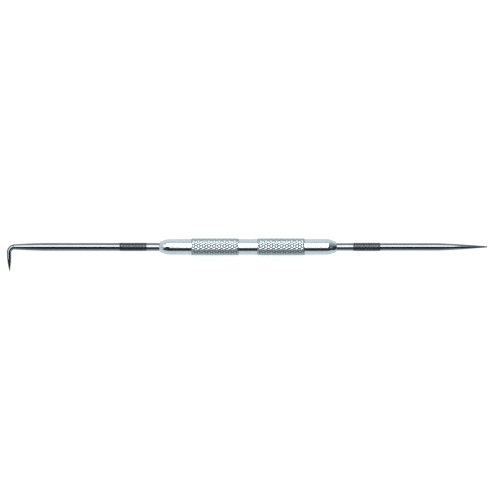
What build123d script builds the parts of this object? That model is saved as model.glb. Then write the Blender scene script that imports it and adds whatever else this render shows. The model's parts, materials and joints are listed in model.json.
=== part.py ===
from build123d import *
import math
import os

# A double-ended scriber: a knurled handle with a screw-in needle at each end.
# All sizes are in millimetres. X is the tool's axis, +X towards the straight point, and Z is up.
# The origin is the middle of the handle, on its axis. The scriber lies on its knurled bands
# and on the tip of its hook, so the hook leans down from the horizontal.

# Handle
handle_length = 92.0
barrel_radius = 4.0
knurl_radius = 4.4
knurl_start = 4.9
knurl_end = 29.4
knurl_bevel = 0.4
nose_radius = 2.5
round_nose_length = 5.6
short_nose_length = 4.3
short_nose_bulge = 0.22

# Thread that holds each needle: M3 x 0.5, drawn as plain cylinders near its pitch radius
thread_pitch = 0.5
thread_major_radius = 1.5
pitch_radius = thread_major_radius - 0.32476 * thread_pitch
thread_clearance = 0.02
hole_depth = 12.0
hole_mouth_radius = 1.65
hole_mouth_depth = 0.25
drill_point_half_angle = 59.0
drill_web_radius = 0.1
tang_length = 9.0
tang_relief_length = 0.8
tang_relief_radius = 1.15
tang_end_bevel = 0.3

# Needles
bent_shank_radius = 2.0
straight_shank_radius = 1.9
shank_bevel = 0.2
grip_radius = 2.1
grip_bevel = 0.1
grip_crown = 0.02
grip_length = 14.0
bent_grip_start = 6.8
straight_grip_start = 8.8
tip_radius = 0.05
straight_tip = 124.7
straight_point_length = 25.7
straight_point_bulge = 0.15
blunt_end_radius = 0.34
blunt_end_length = 0.4
blunt_end_bulge = 0.06

# Hook of the bent needle
hook_arm_x = 124.5
hook_reach = 13.65
hook_neck_length = 21.3
hook_neck_bulge = 0.2
bend_radius = 3.2
bend_angle = 90.2
bend_start_wire_radius = 1.4
bend_end_wire_radius = 1.14
hook_point_bulge = 0.28

nose_face = handle_length / 2
bend_start_x = hook_arm_x - bend_radius
hook_lean = math.degrees(math.asin((knurl_radius - tip_radius) / hook_reach))


def bulged_taper(start, end, bulge):
    """A slightly convex edge from one (x, radius) point to another."""
    start = Vector(start)
    end = Vector(end)
    return ThreePointArc(start, (start + end) / 2 + Vector(0, bulge), end)


def turned(*edges):
    """A solid of revolution about X from the edges of its outline, which closes along the axis."""
    outline = Curve() + list(edges)
    first = outline @ 0
    last = outline @ 1
    closing = Polyline((last.X, last.Y), (last.X, 0), (first.X, 0), (first.X, first.Y))
    return revolve(make_face(outline + closing), Axis.X)


def threaded_hole():
    """The tapped hole in the handle's +X end, with its countersunk mouth and drill point."""
    wall = pitch_radius + thread_clearance
    cone_length = (wall - drill_web_radius) / math.tan(math.radians(drill_point_half_angle))
    bottom = nose_face - hole_depth
    return turned(
        Polyline(
            (bottom - cone_length, drill_web_radius),
            (bottom, wall),
            (nose_face - hole_mouth_depth, wall),
            (nose_face, hole_mouth_radius),
        )
    )


def make_handle():
    """The turned bar with two raised knurl bands, two noses and a tapped hole in each end."""
    round_nose = TangentArc(
        (-nose_face + round_nose_length, barrel_radius),
        (-nose_face, nose_radius),
        tangent=(-1, 0),
    )
    short_nose = bulged_taper(
        (nose_face - short_nose_length, barrel_radius), (nose_face, nose_radius), short_nose_bulge
    )
    barrel = turned(round_nose, Line(round_nose @ 0, short_nose @ 0), short_nose)
    for side in (-1, 1):
        band = turned(
            Polyline(
                (side * knurl_start, barrel_radius),
                (side * (knurl_start + knurl_bevel), knurl_radius),
                (side * (knurl_end - knurl_bevel), knurl_radius),
                (side * knurl_end, barrel_radius),
            )
        )
        barrel = barrel + band
    hole = threaded_hole()
    return barrel - hole - hole.rotate(Axis.Z, 180)


def make_tang():
    """The part of a needle that screws into the +X end of the handle."""
    thread = pitch_radius - thread_clearance
    end = nose_face - tang_length
    relief = nose_face - tang_relief_length
    return turned(
        Polyline(
            (end, thread - tang_end_bevel),
            (end + tang_end_bevel, thread),
            (relief, thread),
            (relief, tang_relief_radius),
            (nose_face, tang_relief_radius),
        )
    )


def shank(radius, grip_start, end):
    """A needle's shank from the nose face outwards along +X, with its raised, crowned finger grip."""
    grip_near = nose_face + grip_start
    grip_far = grip_near + grip_length
    grip_end_radius = grip_radius - grip_crown
    inner = Polyline(
        (nose_face, radius - shank_bevel),
        (nose_face + shank_bevel, radius),
        (grip_near, radius),
        (grip_near + grip_bevel, grip_end_radius),
    )
    grip = bulged_taper(inner @ 1, (grip_far - grip_bevel, grip_end_radius), grip_crown)
    outer = Polyline(grip @ 1, (grip_far, radius), (end, radius))
    return inner, grip, outer


def make_straight_needle():
    """The straight needle, with a long point and a slightly rounded end."""
    point_start = (straight_tip - straight_point_length, straight_shank_radius)
    blunt_start = (straight_tip - blunt_end_length, blunt_end_radius)
    return turned(
        *shank(straight_shank_radius, straight_grip_start, point_start[0]),
        bulged_taper(point_start, blunt_start, straight_point_bulge),
        bulged_taper(blunt_start, (straight_tip, tip_radius), blunt_end_bulge),
    )


def make_bent_needle():
    """The hooked needle, made along +X with its hook towards +Y, then turned to the -X end."""
    neck_start = bend_start_x - hook_neck_length
    straight = turned(
        *shank(bent_shank_radius, bent_grip_start, neck_start),
        bulged_taper(
            (neck_start, bent_shank_radius), (bend_start_x, bend_start_wire_radius), hook_neck_bulge
        ),
    )
    bend_path = JernArc((bend_start_x, 0), (1, 0), bend_radius, bend_angle)
    bend = sweep(
        [
            Plane(bend_path @ 0, z_dir=bend_path % 0) * Circle(bend_start_wire_radius),
            Plane(bend_path @ 1, z_dir=bend_path % 1) * Circle(bend_end_wire_radius),
        ],
        path=bend_path,
        multisection=True,
    )
    arm_length = (hook_reach - (bend_path @ 1).Y) / (bend_path % 1).Y
    arm = turned(bulged_taper((0, bend_end_wire_radius), (arm_length, tip_radius), hook_point_bulge))
    arm = Plane(bend_path @ 1, x_dir=bend_path % 1, z_dir=(0, 0, 1)) * arm
    return (straight + bend + arm).rotate(Axis.Z, 180).rotate(Axis.X, hook_lean)


tang = make_tang()
parts = {
    "handle": make_handle(),
    "straight_needle": make_straight_needle(),
    "straight_needle_tang": tang,
    "bent_needle": make_bent_needle(),
    "bent_needle_tang": tang.rotate(Axis.Z, 180),
}

os.makedirs("parts", exist_ok=True)
for name, shape in parts.items():
    shape.label = name
    export_step(shape, f"parts/{name}.step")
    print(name, round(shape.volume, 2), shape.bounding_box())
print("hook lean", round(hook_lean, 3), "degrees")
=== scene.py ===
import json
import math
import bpy
from mathutils import Matrix, Vector


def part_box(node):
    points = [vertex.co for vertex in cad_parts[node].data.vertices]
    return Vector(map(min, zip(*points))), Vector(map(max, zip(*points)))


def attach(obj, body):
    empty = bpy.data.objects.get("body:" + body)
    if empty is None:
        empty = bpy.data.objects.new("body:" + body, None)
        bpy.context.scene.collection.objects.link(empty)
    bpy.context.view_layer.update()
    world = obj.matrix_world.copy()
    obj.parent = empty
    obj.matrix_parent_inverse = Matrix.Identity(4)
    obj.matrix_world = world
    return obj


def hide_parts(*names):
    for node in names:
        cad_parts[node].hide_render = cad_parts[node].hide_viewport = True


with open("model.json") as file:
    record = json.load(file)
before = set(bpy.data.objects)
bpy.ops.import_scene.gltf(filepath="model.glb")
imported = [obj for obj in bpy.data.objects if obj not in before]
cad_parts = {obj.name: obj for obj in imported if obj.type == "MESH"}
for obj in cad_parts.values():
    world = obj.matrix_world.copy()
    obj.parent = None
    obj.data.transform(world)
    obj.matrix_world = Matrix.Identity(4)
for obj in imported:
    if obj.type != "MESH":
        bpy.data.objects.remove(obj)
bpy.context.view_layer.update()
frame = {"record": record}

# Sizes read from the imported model, in metres. X is the tool's axis.
MM = 0.001
mounts = {mount["name"]: mount for mount in frame["record"]["mounts"]}
joints = {joint["name"]: joint for joint in frame["record"]["behaviour"]["joints"]}


def span(mount):
    """Where a mount's cylinder starts and ends along X."""
    half = mount["dims"]["length_mm"] * MM / 2
    return mount["pos_m"][0] - half, mount["pos_m"][0] + half


nose_face, _, knurl_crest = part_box("handle")[1]
barrel_radius = mounts["barrel_land"]["dims"]["r_mm"] * MM
knurl_start = span(mounts["middle_band"])[1]
knurl_end, short_nose_start = span(mounts["barrel_land"])
straight_radius = mounts["straight_shank"]["dims"]["r_mm"] * MM
straight_grip_end, straight_point_start = span(mounts["straight_shank"])
straight_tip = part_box("straight_needle")[1][0]
grip_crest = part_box("straight_needle")[1][2]
tang_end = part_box("straight_needle_tang")[0][0]
table_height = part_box("handle")[0][2]
turns = joints["straight_needle_turn"]["range_deg"][1] / 360
thread_pitch = joints["straight_needle_advance"]["range_m"][1] / turns

# Handle details
NOSE_RADIUS = 2.5 * MM
ROUND_NOSE_LENGTH = 5.6 * MM
SHORT_NOSE_BULGE = 0.22 * MM
NOSE_EDGE = 0.12 * MM
HOLE_MOUTH_RADIUS = 1.65 * MM
HOLE_MOUTH_DEPTH = 0.25 * MM
HOLE_THREAD_LENGTH = 10.5 * MM
HOLE_DEPTH = 12.0 * MM
DRILL_POINT_LENGTH = 0.75 * MM
DRILL_WEB = 0.1 * MM
NOSE_STEPS = 16

# How close to an edge a ring lies that keeps the long smooth surface beside it evenly shaded
HOLD = 0.1 * MM

# Knurls: how many diamonds go round, the length of one, the depth of the grooves, the share of a
# diamond that is a flat top, how far a knurl fades in at its ends, and the mesh steps across one
HANDLE_KNURL = {
    "count": 17, "pitch": 2.70 * MM, "depth": 0.19 * MM, "land": 0.34, "fade": 0.45 * MM, "steps": 12,
}
GRIP_KNURL = {
    "count": 14, "pitch": 1.55 * MM, "depth": 0.18 * MM, "land": 0.48, "fade": 0.25 * MM, "steps": 8,
}

# M3 thread of the needles and the holes. THREAD_STEPS mesh steps cross one pitch. THREAD_FLANK is how
# steep the flanks are, in depths of the thread for half a pitch. The mesh makes them about 48 degrees,
# which is narrower than the 60 degrees of a real thread.
THREAD_CREST = 1.47 * MM
THREAD_ROOT = 1.19 * MM
THREAD_GAP = 0.03 * MM
THREAD_FADE = 0.5 * MM
THREAD_COLUMNS = 48
THREAD_STEPS = 8
THREAD_FLANK = 2.6
TANG_RELIEF_LENGTH = 0.8 * MM
TANG_RELIEF_RADIUS = 1.15 * MM
TANG_END_BEVEL = 0.3 * MM

# Needles
GRIP_LENGTH = 14.0 * MM
BENT_RADIUS = 2.0 * MM
BENT_GRIP_START = 6.8 * MM
SHANK_BEVEL = 0.2 * MM
TIP_RADIUS = 0.05 * MM
STRAIGHT_POINT_BULGE = 0.15 * MM
BLUNT_END_RADIUS = 0.34 * MM
BLUNT_END_LENGTH = 0.4 * MM
BLUNT_END_BULGE = 0.06 * MM
POINT_STEPS = 36
BLUNT_END_STEPS = 6

# Hook of the bent needle
HOOK_REACH = 13.65 * MM
HOOK_NECK_LENGTH = 21.3 * MM
HOOK_NECK_BULGE = 0.2 * MM
HOOK_POINT_BULGE = 0.28 * MM
BEND_RADIUS = 3.2 * MM
BEND_ANGLE = math.radians(90.2)
BEND_START_WIRE = 1.4 * MM
BEND_END_WIRE = 1.14 * MM
BEND_STEPS = 24
HOOK_POINT_STEPS = 30
HOOK_ARM_X = 124.5 * MM
HOOK_LEAN = math.asin((knurl_crest - TIP_RADIUS) / HOOK_REACH)
bend_start = HOOK_ARM_X - BEND_RADIUS
bend_length = BEND_RADIUS * BEND_ANGLE
arm_length = (HOOK_REACH - BEND_RADIUS * (1 - math.cos(BEND_ANGLE))) / math.sin(BEND_ANGLE)

# The mesh attribute that keeps each point's place before bending
TURNED = "turned"

# Faces that meet at more than this angle show a crisp edge
SHARP_ANGLE = math.radians(24)

# How the metals look: colour where clean and where dull, roughness range, tint at grazing angles,
# the (size, depth) of the plate's waves and of the turning marks, and the colour of the soil. On the
# chrome this dark colour is soil and painted shade in the knurl's grooves and in the holes.
CHROME = {
    "bright": (0.50, 0.57, 0.60), "dull": (0.46, 0.53, 0.56), "roughness": (0.12, 0.19), "edge": 0.7,
    "waves": (1.1 * MM, 0.006 * MM), "marks": (0.14 * MM, 0.0008 * MM), "soil": (0.17, 0.195, 0.205),
}
STEEL = {
    "bright": (0.165, 0.183, 0.192), "dull": (0.150, 0.167, 0.176), "roughness": (0.05, 0.10), "edge": 0.6,
    "waves": (1.8 * MM, 0.0003 * MM), "marks": (0.10 * MM, 0.0002 * MM), "soil": (0.014, 0.018, 0.022),
}
# Roughness added where the soil lies, which on the handle is also painted shade
SOIL_AND_SHADE_ROUGHNESS = 0.25

# The values of the noise between which a dull patch fades in, between which the roughness goes through
# its range, and between which the soil and painted shade go from their thinnest, the value below, to full
PATCH_RANGE = (0.35, 0.7)
HAZE_RANGE = (0.1, 0.9)
SPECK_RANGE = (0.25, 0.5)
LEAST_SOIL_AND_SHADE = 0.75

# How much of the haze comes from the fine wear, and how long a turning mark is for its width
WEAR_SHARE = 0.45
MARK_STRETCH = 30

# Where soil ends below a knurl's crests, as shares of its depth: all soil, and none. On the handle it is
# soil and painted shade.
HANDLE_SOIL_AND_SHADE_DEPTHS = (0.75, 0.3)
GRIP_SOIL_DEPTHS = (0.3, 0)

# How far soil stays below a thread's crest, and how far past a hole's mouth the handle's soil and painted
# shade reach
THREAD_SOIL_DEPTH = 0.04 * MM
HOLE_SOIL_AND_SHADE_REACH = 0.1 * MM

# Grain sizes, along and across the tool: dull patches, fine wear and specks in the soil and painted shade
PATCH_GRAIN = (3.5 * MM, 1.6 * MM)
WEAR_GRAIN = (0.5 * MM, 0.09 * MM)
SPECK_GRAIN = (0.3 * MM, 0.3 * MM)

# Octaves of each noise
PATCH_DETAIL = 3
WEAR_DETAIL = 2
MARK_DETAIL = 4
WAVE_DETAIL = 2
SPECK_DETAIL = 3
FLOOR_DETAIL = 4

# The camera's view: its middle in X and Y, its width, and the lens
VIEW_CENTRE = (1.04 * MM, -1.63 * MM)
VIEW_WIDTH = 260.25 * MM
LENS = 200
SENSOR = 36

# The floor: its size, two shades of its grain, its own glow and its roughness, and the sky over it
FLOOR_SIZE = 6
FLOOR_SHADES = ((0.48, 0.48, 0.48), (0.54, 0.54, 0.54))
FLOOR_GRAIN = 1.5 * MM
FLOOR_BUMP = 0.05 * MM
FLOOR_GLOW = 0.65
FLOOR_ROUGHNESS = 0.9
SKY = (0.90, 0.98, 1.0)

# The softbox: its edges as angles from straight up towards +Y, its ends along X, its brightness and
# its distance from the tool
SOFTBOX_ANGLES = (-4, 52)
SOFTBOX_ENDS = (-0.75, 0.30)
SOFTBOX_RADIANCE = 5
SOFTBOX_DISTANCE = 1.0

# Cards that only show in reflections. They glow with one colour, or fade from one to another.
DARK = (0.02, 0.04, 0.055)
MID_GREY = (0.6, 0.65, 0.68)
PALE = (1.0, 1.1, 1.15)
BRIGHT = (5, 5, 5)
BRIGHTER = (5.5, 5.6, 5.8)

# Cards over the tool: the glow at the low and high edge, the X range, the angles and the distance
ARC_CARDS = {
    "dark_card": (DARK, DARK, (-0.85, 1.5), (-63, -26), 1.0),
    "fading_card": (DARK, PALE, (-1.5, 1.5), (-26, -4), 1.0),
    "left_wing": (DARK, DARK, (-0.6, -0.10), (-26, 6), 0.98),
    "right_wing": (DARK, DARK, (0.10, 0.6), (-26, 6), 0.98),
    "left_end_card": (PALE, PALE, (-0.85, -0.36), (24, 60), 0.97),
    "right_end_card": (DARK, MID_GREY, (0.33, 0.87), (-4, 60), 0.97),
}

# A wall at the right, a small card over the hook and a dark strip beside it: size and place
SIDE_SIZE = (3.0, 3.0)
SIDE_PLACE = (0.9, 0.4, 1.5)
SIDE_FADE = 0.8
HOOK_CARD_SIZE = (0.028, 0.075)
HOOK_CARD_PLACE = (-0.158, -0.004, 0.03)
HOOK_FLAG_SIZE = (13.4 * MM, 80 * MM)
HOOK_FLAG_PLACE = (-0.142, 5.5 * MM, 2.3 * MM)
UPRIGHT = (0, math.radians(90), 0)
FLAT = (0, 0, 0)


# ---------------------------------------------------------------- mesh building

class Skin:
    """A closed skin of rings round the X axis. Each face has a material number."""

    def __init__(self):
        self.points = []
        self.faces = []
        self.materials = []

    def point(self, x, radius, angle):
        self.points.append(Vector((x, radius * math.cos(angle), radius * math.sin(angle))))
        return len(self.points) - 1

    def face(self, corners, material):
        self.faces.append(corners)
        self.materials.append(material)

    def ring(self, x, radius, columns):
        return [self.point(x, radius, math.tau * i / columns) for i in range(columns)]

    def tube(self, start, outline, material):
        """Carries the ring start through the (x, radius) points of an outline. Returns the last ring."""
        for x, radius in outline:
            end = self.ring(x, radius, len(start))
            self.join(start, end, material)
            start = end
        return start

    def join(self, start, end, material):
        """Joins two rings that have the same number of points."""
        for i in range(len(start)):
            j = (i + 1) % len(start)
            self.face((start[i], start[j], end[j], end[i]), material)

    def step_columns(self, start, x, radius, columns, material):
        """Joins the ring start to a new ring that has another number of points."""
        end = self.ring(x, radius, columns)
        i = 0
        j = 0
        while i < len(start) or j < columns:
            a = start[i % len(start)]
            b = end[j % columns]
            if j == columns or (i < len(start) and (i + 1) / len(start) <= (j + 1) / columns):
                i += 1
                self.face((a, start[i % len(start)], b), material)
            else:
                j += 1
                self.face((a, end[j % columns], b), material)
        return end

    def cap(self, ring, x, material):
        """Closes a ring with a fan to a point on the axis."""
        middle = self.point(x, 0, 0)
        for i in range(len(ring)):
            self.face((ring[i], ring[(i + 1) % len(ring)], middle), material)

    def knurl(self, start, x_end, crest, base, kind, material):
        """A diamond knurl from the ring start to x_end. Its ends fade to the base radius."""
        steps = kind["steps"]
        pitch = kind["pitch"]
        columns = kind["count"] * steps
        x_start = self.points[start[0]].x
        first = math.floor(x_start / pitch * steps) + 1
        last = math.ceil(x_end / pitch * steps) - 1
        for row in range(first, last + 2):
            x = min(row * pitch / steps, x_end)
            share = min((x - x_start) / kind["fade"], (x_end - x) / kind["fade"], 1)
            end = []
            for i in range(columns):
                height = knurl_height((i + row) / steps, (i - row) / steps, kind["land"])
                radius = crest - kind["depth"] * (1 - height)
                end.append(self.point(x, base + (radius - base) * share, math.tau * i / columns))
            for i in range(columns):
                j = (i + 1) % columns
                a = (i + row) / steps
                b = (i + 1 - row) / steps
                if to_groove(a) < to_groove(b):
                    self.face((start[i], start[j], end[i]), material)
                    self.face((start[j], end[j], end[i]), material)
                else:
                    self.face((start[i], start[j], end[j]), material)
                    self.face((start[i], end[j], end[i]), material)
            start = end
        return start

    def thread(self, start, x_end, gap, plain, shift, material):
        """A right-hand thread from the ring start to x_end. Its ends fade to a plain radius."""
        x_start = self.points[start[0]].x
        low = min(x_start, x_end)
        high = max(x_start, x_end)
        first = math.floor(low / thread_pitch * THREAD_STEPS) - THREAD_STEPS
        last = math.ceil(high / thread_pitch * THREAD_STEPS)
        far = self.ring(x_end, plain, THREAD_COLUMNS)
        ends = {True: start, False: far} if x_start < x_end else {True: far, False: start}
        rows = {}
        for row in range(first, last + 1):
            for i in range(THREAD_COLUMNS):
                x = (row / THREAD_STEPS + i / THREAD_COLUMNS + shift) * thread_pitch
                if x <= low or x >= high:
                    rows[row, i] = ends[x <= low][i]
                    continue
                share = min((x - low) / THREAD_FADE, (high - x) / THREAD_FADE, 1)
                radius = thread_radius(row / THREAD_STEPS) + gap
                rows[row, i] = self.point(
                    x, plain + (radius - plain) * share, math.tau * i / THREAD_COLUMNS
                )
        for row in range(first, last):
            for i in range(THREAD_COLUMNS):
                across = (row, i + 1) if i + 1 < THREAD_COLUMNS else (row + THREAD_STEPS, 0)
                above = (across[0] + 1, across[1])
                corners = [rows.get(key) for key in ((row, i), across, above, (row + 1, i))]
                corners = [c for c in dict.fromkeys(corners) if c is not None]
                if len(corners) > 2:
                    self.face(tuple(corners), material)
        return far


def to_groove(phase):
    """How far a phase is from the nearest groove, from 0 in it to 0.5 midway."""
    return abs(phase - round(phase))


def knurl_height(a, b, land):
    """The height of a diamond knurl, from 0 in a groove to 1 on a diamond's flat top."""
    return min(2 * min(to_groove(a), to_groove(b)) / (1 - land), 1)


def thread_radius(turn):
    """The thread's radius for a part of a turn: a steep ridge with a flat crest and root."""
    ridge = min(max(THREAD_FLANK * (0.5 - 2 * to_groove(turn)) + 0.5, 0), 1)
    return THREAD_ROOT + (THREAD_CREST - THREAD_ROOT) * ridge


def bulged_taper(start, end, bulge, steps):
    """Points of a slightly convex edge from one (x, radius) point to another."""
    outline = []
    for i in range(1, steps + 1):
        t = i / steps
        x = start[0] + (end[0] - start[0]) * t
        radius = start[1] + (end[1] - start[1]) * t + 4 * bulge * t * (1 - t)
        outline.append((x, radius))
    return outline


def make_object(name, skin, materials, move=None):
    """Makes one object from a skin, with smooth faces and sharp creases."""
    points = [move(point) for point in skin.points] if move else skin.points
    mesh = bpy.data.meshes.new(name)
    mesh.from_pydata([tuple(point) for point in points], [], skin.faces)
    for material in materials:
        mesh.materials.append(material)
    mesh.polygons.foreach_set("material_index", skin.materials)
    turned = mesh.attributes.new(TURNED, "FLOAT_VECTOR", "POINT")
    for place, point in zip(turned.data, skin.points):
        place.vector = point
    obj = bpy.data.objects.new(name, mesh)
    bpy.context.scene.collection.objects.link(obj)
    bpy.context.view_layer.objects.active = obj
    obj.select_set(True)
    bpy.ops.object.mode_set(mode="EDIT")
    bpy.ops.mesh.select_all(action="SELECT")
    bpy.ops.mesh.normals_make_consistent(inside=False)
    bpy.ops.object.mode_set(mode="OBJECT")
    obj.select_set(False)
    mesh.shade_smooth()
    mesh.set_sharp_from_angle(angle=SHARP_ANGLE)
    return obj


# ---------------------------------------------------------------- materials

class Shading:
    """One material's node tree, with short ways to add what the metals share."""

    def __init__(self, name):
        self.material = bpy.data.materials.new(name)
        self.material.use_nodes = True
        self.nodes = self.material.node_tree.nodes
        self.link = self.material.node_tree.links.new
        self.shader = self.nodes["Principled BSDF"]

    def node(self, kind, inputs, **settings):
        """Adds a node. Each input is a socket to link or a value to set; None leaves it as it is."""
        node = self.nodes.new("ShaderNode" + kind)
        for key, value in settings.items():
            setattr(node, key, value)
        for socket, value in zip(node.inputs, inputs):
            if isinstance(value, bpy.types.NodeSocket):
                self.link(value, socket)
            elif value is not None:
                socket.default_value = value
        return node

    def math(self, operation, *inputs):
        return self.node("Math", inputs, operation=operation).outputs[0]

    def turned(self):
        """Where a point was on the lathe, before any bending: its place, X along and radius."""
        place = self.node("Attribute", [], attribute_name=TURNED).outputs["Vector"]
        along = self.node("SeparateXYZ", [place]).outputs["X"]
        across = self.node("VectorMath", [place, (0, 1, 1)], operation="MULTIPLY").outputs[0]
        radius = self.node("VectorMath", [across], operation="LENGTH").outputs["Value"]
        return place, along, radius

    def noise(self, place, along_size, across_size, detail):
        """Seamless noise with grains of the given sizes along and across the tool."""
        grain = (1 / along_size, 1 / across_size, 1 / across_size)
        stretched = self.node("VectorMath", [place, grain], operation="MULTIPLY").outputs[0]
        noise = self.node("TexNoise", [stretched])
        noise.inputs["Scale"].default_value = 1
        noise.inputs["Detail"].default_value = detail
        return noise.outputs[0]

    def ramp(self, value, low, high, at_low, at_high):
        """Takes a value from the range low..high to at_low..at_high, and no further."""
        return self.node("MapRange", [value, low, high, at_low, at_high]).outputs[0]

    def mix(self, share, first, second):
        """A colour between two, the second where share is 1."""
        node = self.node("Mix", [share], data_type="RGBA")
        for socket, value in ((node.inputs["A"], first), (node.inputs["B"], second)):
            if isinstance(value, bpy.types.NodeSocket):
                self.link(value, socket)
            else:
                socket.default_value = (*value, 1)
        return next(output for output in node.outputs if output.type == "RGBA")

    def bumps(self, layers):
        """Stacks bumps, each a (height from 0 to 1, full depth) pair."""
        normal = None
        for height, depth in layers:
            bump = self.node("Bump", [])
            bump.inputs["Distance"].default_value = depth
            bump.inputs["Strength"].default_value = 1
            self.link(height, bump.inputs["Height"])
            if normal:
                self.link(normal, bump.inputs["Normal"])
            normal = bump.outputs[0]
        self.link(normal, self.shader.inputs["Normal"])


def metal(name, look, soiled_and_shaded=None):
    """Polished metal: faint waves and turning marks, patches a little duller, and soil where it gathers. On
    the handle that soil is also painted shade in the hollows.

    The last argument takes the shading, the X along and the radius, and gives how soiled and shaded a point
    is, from 0 to 1.
    """
    shading = Shading(name)
    place, along, radius = shading.turned()
    patches = shading.ramp(shading.noise(place, *PATCH_GRAIN, PATCH_DETAIL), *PATCH_RANGE, 0, 1)
    wear = shading.noise(place, *WEAR_GRAIN, WEAR_DETAIL)
    marks_size, marks_depth = look["marks"]
    marks = shading.noise(place, marks_size, MARK_STRETCH * marks_size, MARK_DETAIL)
    waves_size, waves_depth = look["waves"]
    waves = shading.noise(place, waves_size, waves_size, WAVE_DETAIL)
    colour = shading.mix(patches, look["bright"], look["dull"])
    haze = shading.node("Mix", [WEAR_SHARE], data_type="FLOAT")
    shading.link(patches, haze.inputs["A"])
    shading.link(wear, haze.inputs["B"])
    roughness = shading.ramp(haze.outputs["Result"], *HAZE_RANGE, *look["roughness"])
    if soiled_and_shaded:
        # Soil darkens the colour here; on the handle's grooves and holes this is also painted shade
        soil = soiled_and_shaded(shading, along, radius)
        specks = shading.noise(place, *SPECK_GRAIN, SPECK_DETAIL)
        soil = shading.math("MULTIPLY", soil, shading.ramp(specks, *SPECK_RANGE, LEAST_SOIL_AND_SHADE, 1))
        colour = shading.mix(soil, colour, look["soil"])
        roughness = shading.math("ADD", roughness, shading.math("MULTIPLY", soil, SOIL_AND_SHADE_ROUGHNESS))
    shading.link(colour, shading.shader.inputs["Base Color"])
    shading.link(roughness, shading.shader.inputs["Roughness"])
    shading.shader.inputs["Metallic"].default_value = 1.0
    shading.shader.inputs["Specular Tint"].default_value = (look["edge"], look["edge"], look["edge"], 1)
    shading.bumps([(waves, waves_depth), (marks, marks_depth)])
    return shading.material


def groove_soil_and_shade(shading, radius, crest, depth, shares):
    """Soil that fills a knurl's grooves up to the first share of their depth and fades out at the second. On
    the handle it is also painted shade.
    """
    return shading.ramp(radius, crest - shares[0] * depth, crest - shares[1] * depth, 1, 0)


def handle_soil_and_shade(shading, along, radius):
    """Soil and painted shade in the grooves of the two knurls and in the threaded holes."""
    groove = groove_soil_and_shade(shading, radius, knurl_crest, HANDLE_KNURL["depth"], HANDLE_SOIL_AND_SHADE_DEPTHS)
    from_middle = shading.math("SUBTRACT", shading.math("ABSOLUTE", along), (knurl_start + knurl_end) / 2)
    in_knurl = shading.math(
        "LESS_THAN", shading.math("ABSOLUTE", from_middle), (knurl_end - knurl_start) / 2
    )
    in_hole = shading.math("LESS_THAN", radius, HOLE_MOUTH_RADIUS + HOLE_SOIL_AND_SHADE_REACH)
    return shading.math("MAXIMUM", shading.math("MULTIPLY", groove, in_knurl), in_hole)


def grip_soil(shading, along, radius):
    """Soil in the grooves of a needle's grip."""
    return groove_soil_and_shade(shading, radius, grip_crest, GRIP_KNURL["depth"], GRIP_SOIL_DEPTHS)


def thread_soil(shading, along, radius):
    """Soil in the roots of a needle's thread."""
    return shading.ramp(radius, THREAD_ROOT, THREAD_CREST - THREAD_SOIL_DEPTH, 1, 0)


def white_floor():
    """A light table's white top with a fine paper grain. It glows, so shadows on it are faint."""
    shading = Shading("white_floor")
    place = shading.node("TexCoord", []).outputs["Object"]
    grain = shading.noise(place, FLOOR_GRAIN, FLOOR_GRAIN, FLOOR_DETAIL)
    shading.link(shading.mix(grain, *FLOOR_SHADES), shading.shader.inputs["Base Color"])
    shading.shader.inputs["Roughness"].default_value = FLOOR_ROUGHNESS
    shading.shader.inputs["Emission Color"].default_value = (1, 1, 1, 1)
    shading.shader.inputs["Emission Strength"].default_value = FLOOR_GLOW
    shading.bumps([(grain, FLOOR_BUMP)])
    return shading.material


def card(name, near, far, fade):
    """A card that reflects nothing. Its glow goes from near to far over the length fade, across its Y."""
    shading = Shading(name)
    shader = shading.shader
    shader.inputs["Base Color"].default_value = (0, 0, 0, 1)
    shader.inputs["Roughness"].default_value = 1.0
    shader.inputs["Specular IOR Level"].default_value = 0.0
    shader.inputs["Emission Strength"].default_value = 1.0
    shader.inputs["Emission Color"].default_value = (*near, 1)
    if far != near:
        place = shading.node("TexCoord", []).outputs["Object"]
        across = shading.node("SeparateXYZ", [place]).outputs["Y"]
        share = shading.ramp(across, -fade / 2, fade / 2, 0, 1)
        shading.link(shading.mix(share, near, far), shader.inputs["Emission Color"])
    return shading.material


# ---------------------------------------------------------------- pieces

def hole_outline(side):
    """The (x, radius) points of a drilled hole's bottom in the handle's end on one side, -1 or 1."""
    bottom = nose_face - HOLE_DEPTH
    wall = THREAD_ROOT + 2 * THREAD_GAP
    thread_start = nose_face - HOLE_THREAD_LENGTH
    return [(side * bottom, wall), (side * thread_start, wall)]


def bored_end(skin, side, columns):
    """The hole in one end, from its drill point out to the flat ring face of the nose."""
    deepest = side * (nose_face - HOLE_DEPTH - DRILL_POINT_LENGTH)
    ring = skin.ring(deepest, DRILL_WEB, THREAD_COLUMNS)
    skin.cap(ring, deepest, 0)
    outline = hole_outline(side)
    ring = skin.tube(ring, outline, 0)
    shift = 0 if side > 0 else 0.5
    mouth = side * (nose_face - HOLE_MOUTH_DEPTH)
    ring = skin.thread(ring, mouth, THREAD_GAP, outline[0][1], shift, 0)
    ring = skin.step_columns(ring, side * nose_face, HOLE_MOUTH_RADIUS, columns, 0)
    edge = [
        (side * nose_face, NOSE_RADIUS - NOSE_EDGE),
        (side * (nose_face - NOSE_EDGE), NOSE_RADIUS),
    ]
    return skin.tube(ring, edge, 0)


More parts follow.
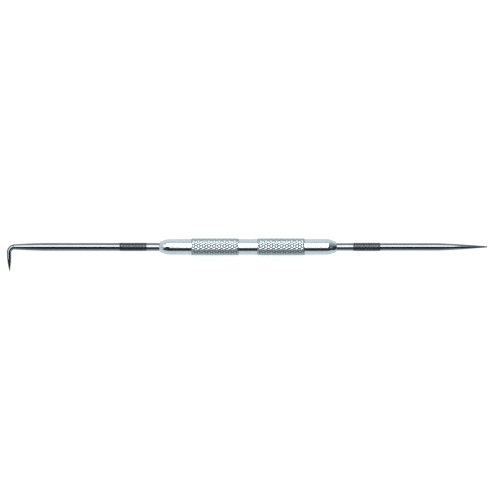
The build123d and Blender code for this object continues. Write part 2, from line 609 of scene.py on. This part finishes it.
def make_handle(material):
    """The whole handle as one skin: a bored nose, the barrel with its two knurls, and a bored nose."""
    columns = HANDLE_KNURL["count"] * HANDLE_KNURL["steps"]
    skin = Skin()
    ring = bored_end(skin, -1, columns)
    nose_tip = -nose_face + NOSE_EDGE
    nose_length = ROUND_NOSE_LENGTH - NOSE_EDGE
    rise = barrel_radius - NOSE_RADIUS
    curve = (nose_length ** 2 + rise ** 2) / (2 * rise)
    round_nose = []
    for i in range(1, NOSE_STEPS + 1):
        to_barrel = nose_length * (1 - i / NOSE_STEPS)
        drop = curve - math.sqrt(curve ** 2 - to_barrel ** 2)
        round_nose.append((nose_tip + nose_length - to_barrel, barrel_radius - drop))
    ring = skin.tube(ring, round_nose, 0)
    for start, end in ((-knurl_end, -knurl_start), (knurl_start, knurl_end)):
        ring = skin.tube(ring, [(start - HOLD, barrel_radius), (start, barrel_radius)], 0)
        ring = skin.knurl(ring, end, knurl_crest, barrel_radius, HANDLE_KNURL, 0)
        ring = skin.tube(ring, [(end + HOLD, barrel_radius)], 0)
    short_nose = bulged_taper(
        (short_nose_start, barrel_radius), (nose_face - NOSE_EDGE, NOSE_RADIUS),
        SHORT_NOSE_BULGE, NOSE_STEPS,
    )
    nose_edge = [(short_nose_start - HOLD, barrel_radius), (short_nose_start, barrel_radius)]
    ring = skin.tube(ring, nose_edge + short_nose[:-1], 0)
    skin.join(ring, bored_end(skin, 1, columns), 0)
    return make_object("handle_body", skin, [material])


def make_needle(name, radius, grip_start, outline, tip_x, materials, move=None):
    """One needle: threaded tang, shoulder, shank with its finger grip, and the rest of its outline."""
    steel, grip, thread = range(3)
    skin = Skin()
    ring = skin.ring(tang_end, THREAD_ROOT - TANG_END_BEVEL, THREAD_COLUMNS)
    skin.cap(ring, tang_end, thread)
    ring = skin.tube(ring, [(tang_end + TANG_END_BEVEL, THREAD_ROOT)], thread)
    relief = nose_face - TANG_RELIEF_LENGTH
    ring = skin.thread(ring, relief, 0, THREAD_ROOT, 0, thread)
    ring = skin.tube(ring, [(relief, TANG_RELIEF_RADIUS), (nose_face, TANG_RELIEF_RADIUS)], thread)
    columns = GRIP_KNURL["count"] * GRIP_KNURL["steps"]
    ring = skin.step_columns(ring, nose_face, radius - SHANK_BEVEL, columns, steel)
    grip_end = grip_start + GRIP_LENGTH
    plain = [nose_face + SHANK_BEVEL, grip_start - HOLD, grip_start]
    ring = skin.tube(ring, [(x, radius) for x in plain], steel)
    ring = skin.knurl(ring, grip_end, grip_crest, radius, GRIP_KNURL, grip)
    ring = skin.tube(ring, [(grip_end + HOLD, radius)] + outline, steel)
    skin.cap(ring, tip_x, steel)
    return make_object(name, skin, materials, move)


def straight_outline():
    """The straight needle from its grip to the tip, as (x, radius) points."""
    start = (straight_point_start, straight_radius)
    blunt = (straight_tip - BLUNT_END_LENGTH, BLUNT_END_RADIUS)
    outline = [start]
    outline += bulged_taper(start, blunt, STRAIGHT_POINT_BULGE, POINT_STEPS)
    outline += bulged_taper(blunt, (straight_tip, TIP_RADIUS), BLUNT_END_BULGE, BLUNT_END_STEPS)
    return outline


def hook_outline():
    """The bent needle from its grip to the tip, before it is bent, as (distance, radius) points."""
    neck = (bend_start - HOOK_NECK_LENGTH, BENT_RADIUS)
    bend = (bend_start, BEND_START_WIRE)
    arm = (bend_start + bend_length, BEND_END_WIRE)
    tip = (arm[0] + arm_length, TIP_RADIUS)
    outline = [neck]
    outline += bulged_taper(neck, bend, HOOK_NECK_BULGE, BEND_STEPS)
    outline += bulged_taper(bend, arm, 0, BEND_STEPS)
    outline += bulged_taper(arm, tip, HOOK_POINT_BULGE, HOOK_POINT_STEPS)
    return outline


def bend_to_hook(point):
    """Takes a point of the needle made straight to its place on the hook, at the -X end."""
    along = Vector((1, 0, 0))
    aside = Vector((0, math.cos(HOOK_LEAN), -math.sin(HOOK_LEAN)))
    turn = min(max((point.x - bend_start) / BEND_RADIUS, 0), BEND_ANGLE)
    swing = Matrix.Rotation(turn, 3, along.cross(aside))
    centre = along * (min(point.x, bend_start) + BEND_RADIUS * math.sin(turn))
    centre += aside * BEND_RADIUS * (1 - math.cos(turn))
    centre += swing @ along * max(point.x - bend_start - bend_length, 0)
    bent = centre + swing @ Vector((0, point.y, point.z))
    return Vector((-bent.x, -bent.y, bent.z))


# ---------------------------------------------------------------- stage, lights and camera

def make_plane(name, size_x, size_y, location, rotation, material):
    """A flat rectangle for the stage."""
    mesh = bpy.data.meshes.new(name)
    x = size_x / 2
    y = size_y / 2
    mesh.from_pydata([(-x, -y, 0), (x, -y, 0), (x, y, 0), (-x, y, 0)], [], [(0, 1, 2, 3)])
    mesh.materials.append(material)
    obj = bpy.data.objects.new(name, mesh)
    obj.location = location
    obj.rotation_euler = rotation
    bpy.context.scene.collection.objects.link(obj)
    return obj


def over_tool(ends, angles, distance):
    """The size, place and turn of a rectangle over the tool, square to it from the given distance.

    ends is its range of X. angles are those of its edges, from straight up towards +Y, in degrees.
    """
    middle = math.radians(sum(angles) / 2)
    size_y = 2 * distance * math.tan(math.radians(angles[1] - angles[0]) / 2)
    place = (sum(ends) / 2, distance * math.sin(middle), distance * math.cos(middle))
    return ends[1] - ends[0], size_y, place, (-middle, 0, 0)


def add_softbox():
    """A large rectangular lamp that shows only in reflections."""
    light = bpy.data.lights.new("softbox", "AREA")
    light.shape = "RECTANGLE"
    light.size, light.size_y, place, turn = over_tool(SOFTBOX_ENDS, SOFTBOX_ANGLES, SOFTBOX_DISTANCE)
    light.energy = SOFTBOX_RADIANCE * math.pi * light.size * light.size_y
    lamp = bpy.data.objects.new("softbox", light)
    lamp.location = place
    lamp.rotation_euler = turn
    lamp.visible_camera = False
    lamp.visible_diffuse = False
    bpy.context.scene.collection.objects.link(lamp)


def add_card(name, size_x, size_y, place, turn, near, far, fade):
    """A glowing card that stays out of the picture, the shadows and the soft light."""
    obj = make_plane(name, size_x, size_y, place, turn, card(name, near, far, fade))
    obj.visible_camera = False
    obj.visible_diffuse = False
    obj.visible_shadow = False


def set_stage():
    """A white floor under a pale sky, the softbox above and behind, and the cards."""
    make_plane("floor", FLOOR_SIZE, FLOOR_SIZE, (0, 0, table_height), FLAT, white_floor())
    add_softbox()
    for name, (near, far, ends, angles, distance) in ARC_CARDS.items():
        size_x, size_y, place, turn = over_tool(ends, angles, distance)
        add_card(name, size_x, size_y, place, turn, near, far, size_y)
    add_card("side_card", *SIDE_SIZE, SIDE_PLACE, UPRIGHT, DARK, MID_GREY, SIDE_FADE)
    add_card("hook_card", *HOOK_CARD_SIZE, HOOK_CARD_PLACE, FLAT, BRIGHTER, BRIGHT, HOOK_CARD_SIZE[1])
    add_card("hook_flag", *HOOK_FLAG_SIZE, HOOK_FLAG_PLACE, UPRIGHT, DARK, DARK, HOOK_FLAG_SIZE[1])
    world = bpy.data.worlds.new("studio")
    world.use_nodes = True
    bpy.context.scene.world = world
    background = world.node_tree.nodes["Background"]
    background.inputs["Color"].default_value = (*SKY, 1)
    background.inputs["Strength"].default_value = 1.0
    bpy.context.scene.view_settings.view_transform = "Standard"


def set_camera():
    """Straight above the tool, with +Y up in the picture and a long lens."""
    camera = bpy.data.cameras.new("camera")
    camera.sensor_width = SENSOR
    camera.lens = LENS
    obj = bpy.data.objects.new("camera", camera)
    obj.location = VIEW_CENTRE[0], VIEW_CENTRE[1], VIEW_WIDTH * LENS / SENSOR
    bpy.context.scene.collection.objects.link(obj)
    bpy.context.scene.camera = obj


set_camera()
set_stage()

needle_metals = [
    metal("shank_steel", STEEL),
    metal("grip_steel", STEEL, grip_soil),
    metal("thread_steel", STEEL, thread_soil),
]

handle = make_handle(metal("chrome_plate", CHROME, handle_soil_and_shade))
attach(handle, "handle")
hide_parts("handle")

straight_needle = make_needle(
    "straight_needle_body", straight_radius, straight_grip_end - GRIP_LENGTH, straight_outline(),
    straight_tip, needle_metals,
)
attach(straight_needle, "straight_needle")
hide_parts("straight_needle", "straight_needle_tang")

bent_needle = make_needle(
    "bent_needle_body", BENT_RADIUS, nose_face + BENT_GRIP_START, hook_outline(),
    bend_start + bend_length + arm_length, needle_metals, bend_to_hook,
)
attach(bent_needle, "bent_needle")
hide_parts("bent_needle", "bent_needle_tang")

bpy.context.view_layer.update()
